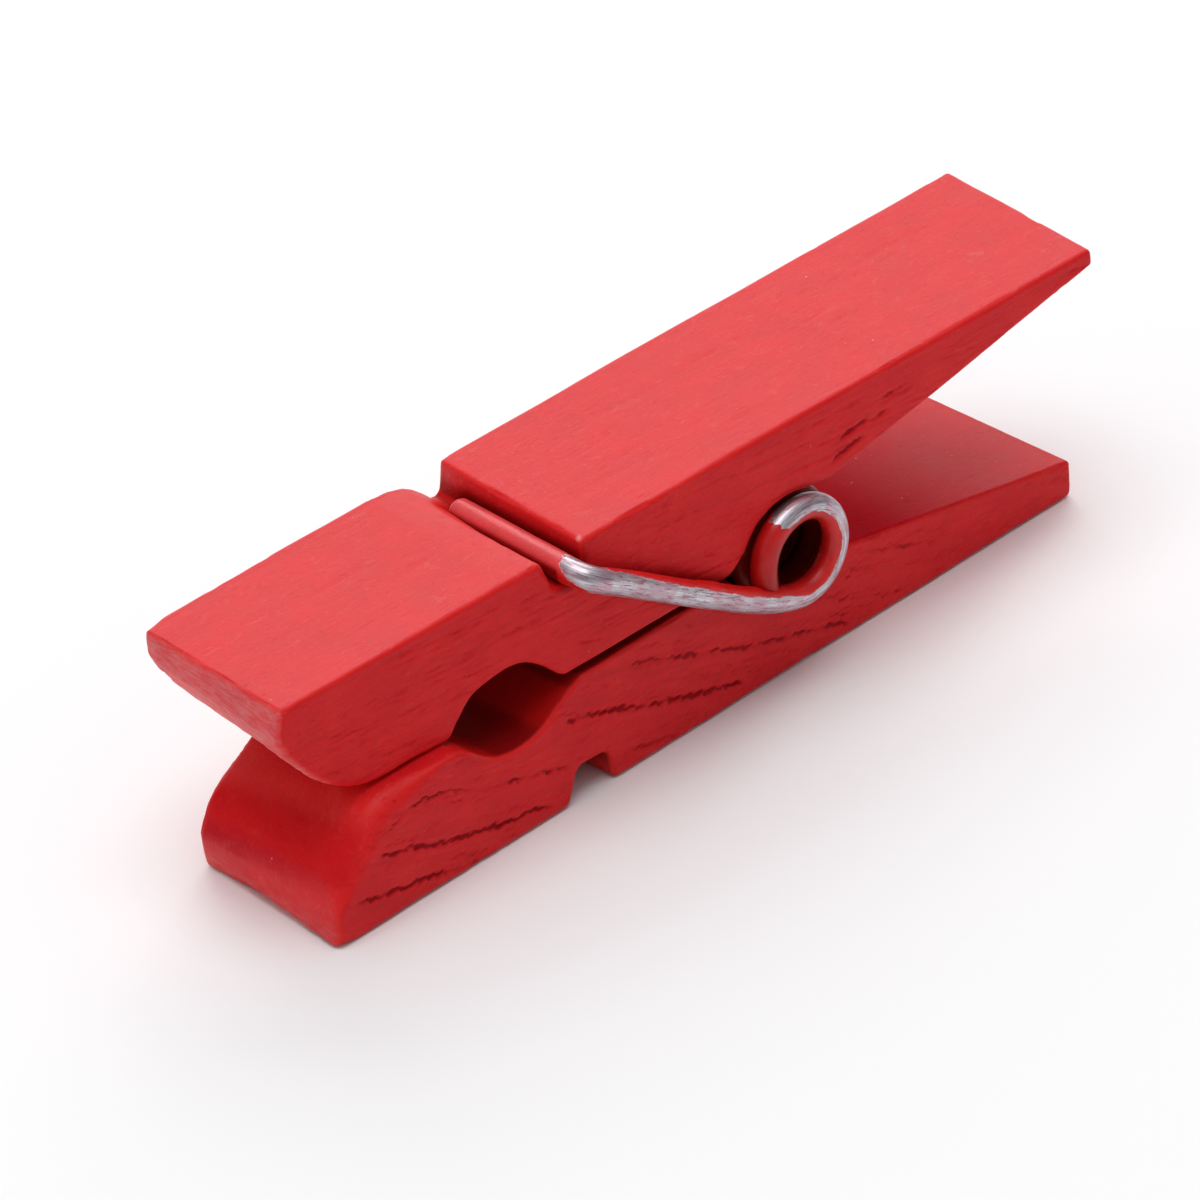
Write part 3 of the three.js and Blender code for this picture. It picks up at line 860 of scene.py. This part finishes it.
def build_spring(name):
    """The spring, each vertex's share of the upper lever, and the wire's centre line."""
    points, kind, share, second, follow = spring_line()
    sides = 36
    tangent = unit(np.gradient(points, axis=0))
    normal = np.zeros_like(points)
    carried = np.array([0.0, 0.0, 1.0])
    for i in range(len(points)):
        carried = unit(carried - tangent[i] * (carried @ tangent[i]))
        normal[i] = carried
    binormal = np.cross(tangent, normal)

    # rings along the wire, with rounded cut ends
    cap = np.linspace(0.06, math.pi / 2, 7)[:-1]
    cap_out, cap_scale = np.cos(cap) * 0.75 * WIRE_R, np.sin(cap)
    source = np.pad(np.arange(len(points)), len(cap), mode="edge")
    shift = np.concatenate([-cap_out, np.zeros(len(points)), cap_out[::-1]])
    scale = np.concatenate([cap_scale, np.ones(len(points)), cap_scale[::-1]])
    count = len(source)
    angle = 2 * math.pi * np.arange(sides) / sides
    centre = points[source] + tangent[source] * shift[:, None]
    dirs = (normal[source][:, None, :] * np.cos(angle)[None, :, None]
            + binormal[source][:, None, :] * np.sin(angle)[None, :, None])
    places = (centre[:, None, :] + dirs * WIRE_R).reshape(-1, 3)
    mirror = np.where(second[source][:, None], FLIP, 1.0)
    bare, deep, pale = wire_wear(
        places, centre * mirror, tangent[source] * mirror, dirs * mirror[:, None, :],
        kind[source], share[source])

    # thickness of the paint and small blobs of it, with the wire's own draw marks
    skin = 1 - rise(bare, 0.35, over=0.3)
    grow = 0.022 * skin * (1 + 0.6 * fbm(places * 0.8, 3, 53).reshape(count, sides))
    lumps = noise(places * 0.75 + 3.3, 54).reshape(count, sides)
    blob = rise(lumps, 0.55, over=0.3) * skin * 0.035
    marks = xyz(np.repeat(np.arange(count) * 0.03, sides), np.tile(angle * 2.2, count), 0.0)
    drawn = 0.006 * noise(marks, 55).reshape(count, sides)
    radius = (WIRE_R - 0.01 + grow + blob + drawn) * scale[:, None]
    surface = (centre[:, None, :] + dirs * radius[:, :, None]).reshape(-1, 3)

    placed = middle_to_product(*surface.T)
    rings = np.arange(count * sides).reshape(count, sides)
    one, two = rings[:-1], rings[1:]
    quads = np.stack([one, np.roll(one, -1, 1), np.roll(two, -1, 1), two], 2).reshape(-1, 4)
    # a fan closes each end
    first, last = count * sides, count * sides + 1
    start, end = rings[0].tolist(), rings[-1].tolist()
    fans = [(first, start[(j + 1) % sides], start[j]) for j in range(sides)]
    fans += [(last, end[j], end[(j + 1) % sides]) for j in range(sides)]
    tips = np.array([placed[:sides].mean(0), placed[-sides:].mean(0)])
    mesh = bpy.data.meshes.new(name)
    mesh.from_pydata((np.concatenate([placed, tips]) * MM).tolist(), [], quads.tolist() + fans)
    mesh.polygons.foreach_set("use_smooth", np.ones(len(mesh.polygons), bool))
    mesh.update()
    obj = add(name, mesh)

    def with_tips(values, first_tip, last_tip):
        return np.concatenate([values.ravel(), [first_tip, last_tip]])

    run = np.cumsum(np.concatenate([[0], np.linalg.norm(np.diff(centre, axis=0), axis=1)]))
    # along the wire, and round it, so that draw marks run lengthways
    wire = xyz(np.repeat(run, sides), np.tile(np.cos(angle) * WIRE_R, count),
               np.tile(np.sin(angle) * WIRE_R, count))
    put_attributes(
        obj,
        bare=with_tips(bare, bare[0].mean(), bare[-1].mean()),
        deep=with_tips(deep, 0, 0),
        pale=with_tips(pale, 0, 0),
        wire=np.concatenate([wire, [[0, 0, 0], [run[-1], 0, 0]]]),
        loc=np.concatenate([surface, [points[0], points[-1]]]),
    )
    weights = with_tips(np.repeat(follow[source], sides), 1.0, 0.0)
    return obj, weights, middle_to_product(*points.T)


# ---------------------------------------------------------------- materials
class Shader:
    """A material with one Principled surface, and short ways to add nodes to it."""

    def __init__(self, name):
        self.material = bpy.data.materials.new(name)
        self.material.use_nodes = True
        self.tree = self.material.node_tree
        self.tree.nodes.clear()
        output = self.node("OutputMaterial")
        self.bsdf = self.node("BsdfPrincipled")
        self.put(output.inputs[0], self.bsdf.outputs[0])

    def node(self, kind):
        return self.tree.nodes.new("ShaderNode" + kind)

    def put(self, socket, value):
        if isinstance(value, (int, float)):
            socket.default_value = value
        elif isinstance(value, tuple):
            alpha = (1.0,) if len(value) == 3 and len(socket.default_value) == 4 else ()
            socket.default_value = value + alpha
        else:
            self.tree.links.new(value, socket)

    def surface(self, name, value):
        self.put(self.bsdf.inputs[name], value)

    def attr(self, name, output="Fac"):
        node = self.node("Attribute")
        node.attribute_name = name
        return node.outputs[output]

    def math(self, operation, first, second, third=0.0, clamp=False):
        node = self.node("Math")
        node.operation = operation
        node.use_clamp = clamp
        for socket, value in zip(node.inputs, (first, second, third)):
            self.put(socket, value)
        return node.outputs[0]

    def mul(self, first, second):
        return self.math("MULTIPLY", first, second)

    def linear(self, value, times, plus):
        return self.math("MULTIPLY_ADD", value, times, plus)

    def dim(self, value, mask, by, clamp=False):
        """value, less the share of it that mask takes away."""
        return self.mul(value, self.math("SUBTRACT", 1.0, self.mul(mask, by), clamp=clamp))

    def ramp(self, value, start, end):
        node = self.node("MapRange")
        node.interpolation_type = "SMOOTHSTEP"
        self.put(node.inputs["Value"], value)
        node.inputs["From Min"].default_value = start
        node.inputs["From Max"].default_value = end
        return node.outputs[0]

    def noise(self, vector, scale, detail=3.0, rough=0.55, distortion=0.0, stretch=None):
        if stretch:
            multiply = self.node("VectorMath")
            multiply.operation = "MULTIPLY"
            self.put(multiply.inputs[0], vector)
            multiply.inputs[1].default_value = stretch
            vector = multiply.outputs[0]
        node = self.node("TexNoise")
        self.put(node.inputs["Vector"], vector)
        node.inputs["Scale"].default_value = scale
        node.inputs["Detail"].default_value = detail
        node.inputs["Roughness"].default_value = rough
        node.inputs["Distortion"].default_value = distortion
        return node.outputs["Fac"]

    def mix(self, factor, first, second):
        node = self.node("Mix")
        node.data_type = "RGBA"
        node.clamp_factor = True
        for i, value in ((0, factor), (6, first), (7, second)):
            self.put(node.inputs[i], value)
        return node.outputs[2]

    def tint(self, under, mask, amount, colour):
        """Lays colour over what is under, by mask times amount."""
        return self.mix(self.mul(mask, amount), under, colour)

    def bump(self, height, strength, distance, after=None):
        node = self.node("Bump")
        node.inputs["Strength"].default_value = strength
        node.inputs["Distance"].default_value = distance
        self.put(node.inputs["Height"], height)
        if after is not None:
            self.put(node.inputs["Normal"], after)
        return node.outputs[0]


RED = (0.665, 0.0065, 0.011)
RED_DEEP = (0.53, 0.0045, 0.009)
RED_LIGHT = (0.72, 0.0125, 0.015)


def painted_wood(name, upper):
    net = Shader(name)
    loc = net.attr("loc", "Vector")
    pore, edge, side, nose, rim, tone, hidden, glint, dusk, contact = (
        net.attr(key) for key in ("pore", "edge", "side", "nose", "rim", "tone", "hidden",
                                  "glint", "dusk", "contact"))
    # uneven red, with streaks along the lever
    streak = net.noise(loc, scale=1.6, detail=4.0, rough=0.6, distortion=0.4,
                       stretch=(0.55, 3.4, 3.4))
    cloud = net.noise(loc, scale=0.55, rough=0.5)
    grit = net.noise(loc, scale=9.0, detail=2.0, rough=0.6)
    col = net.mix(net.ramp(cloud, start=0.35, end=0.68), RED, RED_LIGHT)
    col = net.tint(col, net.ramp(tone, start=0.5, end=0.1),
                   net.linear(side, times=0.4, plus=0.16), RED_DEEP)
    col = net.tint(col, net.ramp(streak, start=0.5, end=0.3),
                   net.linear(side, times=0.4, plus=0.12), RED_DEEP)
    col = net.tint(col, net.ramp(grit, start=0.55, end=0.3), amount=0.16, colour=RED_DEEP)
    # rubbed, chalky scuffs on the flat faces
    scuff = net.ramp(net.noise(loc, scale=1.15, detail=6.0, rough=0.7, distortion=0.6,
                               stretch=(1.0, 1.6, 1.6)), start=0.56, end=0.74)
    scuff = net.mul(scuff, net.ramp(side, start=1.0, end=0.3))
    col = net.tint(col, scuff, amount=0.24, colour=(0.80, 0.22, 0.2))
    # short light flecks where the paint has dried chalky
    fleck = net.ramp(net.noise(loc, scale=3.4, rough=0.7, distortion=0.3,
                               stretch=(1.3, 2.2, 2.2)), start=0.58, end=0.74)
    col = net.tint(col, fleck, net.linear(side, times=-0.08, plus=0.15), (0.85, 0.3, 0.3))
    # thin paint over the end grain of the nose, thinner on the upper lever
    grain = net.ramp(net.noise(loc, scale=1.3, detail=4.0, rough=0.6, distortion=0.5,
                               stretch=(1.0, 1.2, 5.0)), start=0.35, end=0.75)
    pale = net.mul(nose, net.linear(
        grain, times=0.34 if upper else 0.03, plus=0.12 if upper else 0.0))
    pale_rim = net.mul(rim, net.linear(
        grain, times=0.3 if upper else 0.12, plus=0.12 if upper else 0.03))
    pale = net.math("ADD", pale, pale_rim, clamp=True)
    col = net.mix(pale, col, (0.72, 0.26, 0.27))
    # pores: dark at the bottom
    gap = net.noise(loc, scale=2.0, rough=0.65, stretch=(2.6, 9.0, 9.0))
    torn = net.mul(net.linear(gap, times=1.1, plus=-0.6), net.ramp(pore, start=0.0, end=0.3))
    torn = net.math("ADD", pore, torn)
    col = net.tint(col, net.ramp(torn, start=0.12, end=0.6), amount=0.78,
                   colour=(0.23, 0.0015, 0.006))
    # shaded places
    col = net.tint(col, dusk, amount=0.72, colour=(0.36, 0.0035, 0.015))
    col = net.tint(col, contact, amount=0.8, colour=(0.16, 0.0008, 0.001))
    col = net.tint(col, hidden, amount=0.74, colour=(0.1, 0.0006, 0.0006))
    # painted highlights: brighter, more saturated red along the rounded edges, and pale spots on two
    # corners
    col = net.tint(col, edge, amount=0.4, colour=(0.76, 0.012, 0.007))
    col = net.tint(col, glint, amount=0.4, colour=(0.85, 0.55, 0.52))
    # a few specks, light and dark
    light = net.noise(loc, scale=3.1, detail=1.0, rough=0.4, stretch=(1, 1, 1))
    col = net.tint(col, net.ramp(light, start=0.80, end=0.84), amount=0.6,
                   colour=(0.75, 0.5, 0.47))
    dark = net.noise(loc, scale=2.3, detail=1.0, rough=0.4, stretch=(1.1, 1.1, 1.1))
    col = net.tint(col, net.ramp(dark, start=0.185, end=0.15), amount=0.45,
                   colour=(0.14, 0.006, 0.006))
    net.surface("Base Color", col)

    # scuffs and pores are rougher
    rough = net.linear(cloud, times=0.14, plus=0.39)
    for mask, more, clamp in ((scuff, 0.1, False), (pore, 0.2, True)):
        rough = net.math("ADD", rough, net.mul(mask, more), clamp=clamp)
    net.surface("Roughness", rough)
    # shine, taken away in shaded places
    shine = net.math("SUBTRACT", 0.27, net.mul(hidden, 0.22))
    shine = net.dim(shine, pore, by=0.7)
    shine = net.dim(shine, side, by=0.42)
    shine = net.dim(shine, dusk, by=1.04, clamp=True)
    shine = net.dim(shine, contact, by=0.8)
    net.surface("Specular IOR Level", shine)
    # paint skin, then fine straight grain telegraphing through it
    skin = net.noise(loc, scale=5.5)
    lines = net.noise(loc, scale=2.2, detail=4.0, rough=0.65, stretch=(0.35, 5.0, 5.0))
    pits = net.ramp(net.noise(loc, scale=2.6, detail=2.0, rough=0.5, stretch=(1.1, 4.2, 4.2)),
                    start=0.36, end=0.26)
    normal = net.bump(skin, strength=0.35, distance=0.00003)
    normal = net.bump(lines, strength=0.4, distance=0.00004, after=normal)
    normal = net.bump(net.mul(pits, -1.0), strength=0.5, distance=0.00004, after=normal)
    net.surface("Normal", normal)
    return net.material


def spring_material(name):
    """Drawn wire, with red paint where mask is 0."""
    net = Shader(name)
    loc, wire = net.attr("loc", "Vector"), net.attr("wire", "Vector")
    bare = net.attr("bare")
    breakup = net.noise(wire, scale=2.0, detail=4.0, rough=0.65, distortion=0.5,
                        stretch=(1.1, 3.2, 3.2))
    fine = net.noise(wire, scale=3.0, rough=0.6, stretch=(2.0, 6.0, 6.0))
    mask = net.math("ADD", bare, net.linear(breakup, times=0.56, plus=-0.28))
    mask = net.math("ADD", mask, net.linear(fine, times=0.14, plus=-0.07))
    mask = net.ramp(mask, start=0.46, end=0.56)

    drawn = net.noise(wire, scale=2.5, rough=0.6, stretch=(0.25, 7.0, 7.0))
    cloud = net.noise(loc, scale=1.4, detail=4.0, rough=0.6)
    metal = net.mix(net.ramp(drawn, start=0.3, end=0.7), (0.36, 0.33, 0.37), (0.72, 0.70, 0.75))
    metal = net.tint(metal, net.ramp(cloud, start=0.4, end=0.64), amount=0.65,
                     colour=(0.52, 0.30, 0.36))
    flecks = net.ramp(net.noise(wire, scale=2.4, rough=0.7, stretch=(0.8, 5.0, 5.0)),
                      start=0.53, end=0.62)
    metal = net.tint(metal, flecks, amount=0.75, colour=(0.32, 0.09, 0.12))

    paint = net.mix(net.ramp(cloud, start=0.3, end=0.7), (0.58, 0.006, 0.007),
                    (0.72, 0.012, 0.011))
    # painted sheen: paler pink along the top of the crossbar and bend
    paint = net.tint(paint, net.attr("pale"), net.linear(fine, times=0.5, plus=0.15),
                     (0.8, 0.13, 0.14))
    # painted shade: near black inside the coil, over its middle turns and low on the crossbar
    paint = net.tint(paint, net.attr("deep"), amount=0.93, colour=(0.03, 0.0004, 0.0004))
    net.surface("Base Color", net.mix(mask, paint, metal))
    net.surface("Metallic", net.mul(mask, 0.9))

    rough_metal = net.linear(drawn, times=0.2, plus=0.27)
    rough_paint = net.linear(cloud, times=0.12, plus=0.28)
    rough = net.node("Mix")
    for i, value in ((0, mask), (2, rough_paint), (3, rough_metal)):
        net.put(rough.inputs[i], value)
    net.surface("Roughness", rough.outputs[0])
    net.surface("Specular IOR Level", net.linear(net.attr("deep"), times=-0.44, plus=0.45))
    normal = net.bump(drawn, strength=0.35, distance=0.00003)
    normal = net.bump(net.mul(mask, -1.0), strength=0.5, distance=0.00003, after=normal)
    net.surface("Normal", normal)
    return net.material


# ---------------------------------------------------------------- the object
spring, weights, wire_line = build_spring("torsion_spring_visual")
upper_lever = build_lever("upper_lever_visual", True, wire_line)
lower_lever = build_lever("lower_lever_visual", False, wire_line)

upper_lever.data.materials.append(painted_wood("painted_wood_upper", True))
lower_lever.data.materials.append(painted_wood("painted_wood_lower", False))
spring.data.materials.append(spring_material("spring_wire_worn"))

for lever, piece in ((upper_lever, "upper_lever"), (lower_lever, "lower_lever")):
    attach(lever, piece)
    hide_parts(piece)
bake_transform(spring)
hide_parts("torsion_spring")

# ---------------------------------------------------------------- stage, in metres from here
FLOOR_HALF = 3
FLOOR_DROP = 0.00005               # just under the object
FLOOR_GREY = (0.9, 0.9, 0.9)
FADE = {"start": 0.1, "end": 0.45}     # distances over which the floor turns into backdrop
BACKDROP = 0.97                    # brightness of the backdrop and of the far floor


def pale_floor():
    """Far from the object the floor runs out into the pale backdrop."""
    net = Shader("pale_floor")
    net.surface("Base Color", FLOOR_GREY)
    net.surface("Roughness", 0.8)
    net.surface("Specular IOR Level", 0.1)
    net.surface("Emission Color", (1, 1, 1, 1))
    place = net.node("NewGeometry")
    distance = net.node("VectorMath")
    distance.operation = "LENGTH"
    net.put(distance.inputs[0], place.outputs["Position"])
    away = distance.outputs["Value"]
    net.surface("Base Color", net.mix(net.ramp(away, **FADE), FLOOR_GREY, (0.0, 0.0, 0.0)))
    net.surface("Emission Strength", net.mul(net.ramp(away, **FADE), BACKDROP))
    return net.material


floor_mesh = bpy.data.meshes.new("floor")
floor_corners = [(x * FLOOR_HALF, y * FLOOR_HALF, 0) for x, y in ((-1, -1), (1, -1), (1, 1), (-1, 1))]
floor_mesh.from_pydata(floor_corners, [], [(0, 1, 2, 3)])
floor = add("floor", floor_mesh)
floor.location.z = -FLOOR_DROP
floor.data.materials.append(pale_floor())

# ---------------------------------------------------------------- world
scene = bpy.context.scene
world = bpy.data.worlds.new("studio")
scene.world = world
world.use_nodes = True
tree = world.node_tree
background = tree.nodes["Background"]
background.inputs[0].default_value = (0.96, 0.97, 1.0, 1)
where = tree.nodes.new("ShaderNodeTexCoord")
split = tree.nodes.new("ShaderNodeSeparateXYZ")
# the light grows from the horizon upwards
height = tree.nodes.new("ShaderNodeMapRange")
for key, value in (("From Min", 0.0), ("From Max", 0.8), ("To Min", 0.2), ("To Max", 0.46)):
    height.inputs[key].default_value = value
tree.links.new(where.outputs["Generated"], split.inputs[0])
tree.links.new(split.outputs["Z"], height.inputs["Value"])
# the camera sees an even pale backdrop, the object is lit by the gradient
ray = tree.nodes.new("ShaderNodeLightPath")
seen = tree.nodes.new("ShaderNodeMix")
seen.inputs[3].default_value = BACKDROP
tree.links.new(ray.outputs["Is Camera Ray"], seen.inputs[0])
tree.links.new(height.outputs[0], seen.inputs[2])
tree.links.new(seen.outputs[0], background.inputs[1])


# ---------------------------------------------------------------- lights and camera
def softbox(name, place, size, radiance):
    """A rectangular light aimed at the object."""
    data = bpy.data.lights.new(name, "AREA")
    data.shape = "RECTANGLE"
    data.size, data.size_y = size
    data.energy = radiance * math.pi * size[0] * size[1]
    light = add(name, data)
    light.location = place
    aim = Vector((0, 0, 0.005)) - Vector(place)
    light.rotation_euler = aim.to_track_quat("-Z", "Y").to_euler()


softbox("back_softbox", place=(0.30, 0.34, 0.30), size=(0.46, 0.46), radiance=2.35)
softbox("overhead_softbox", place=(-0.06, -0.02, 0.55), size=(0.42, 0.42), radiance=3.0)
softbox("left_fill", place=(-0.5, 0.06, 0.2), size=(0.35, 0.3), radiance=0.8)

# the camera's axes in the product's frame, and its place
CAMERA_RIGHT = Vector((0.7250420245, -0.6864227429, -0.0560167892))
CAMERA_DOWN = Vector((-0.4086238982, -0.3632853768, -0.8372874327))
CAMERA_AHEAD = Vector((0.5543830558, 0.6299583740, -0.5438859021))
CAMERA_PLACE = Vector((-281.7931959771, -314.0849612880, 275.1919028584)) * MM

camera_data = bpy.data.cameras.new("camera")
camera_data.sensor_width = 36      # mm, as is the lens
camera_data.lens = 456.37665
camera_data.clip_start, camera_data.clip_end = 0.02, 10
camera = add("camera", camera_data)
pose = Matrix((CAMERA_RIGHT, -CAMERA_DOWN, -CAMERA_AHEAD)).transposed().to_4x4()
pose.translation = CAMERA_PLACE
camera.matrix_world = pose
scene.camera = camera
scene.view_settings.view_transform = "Standard"
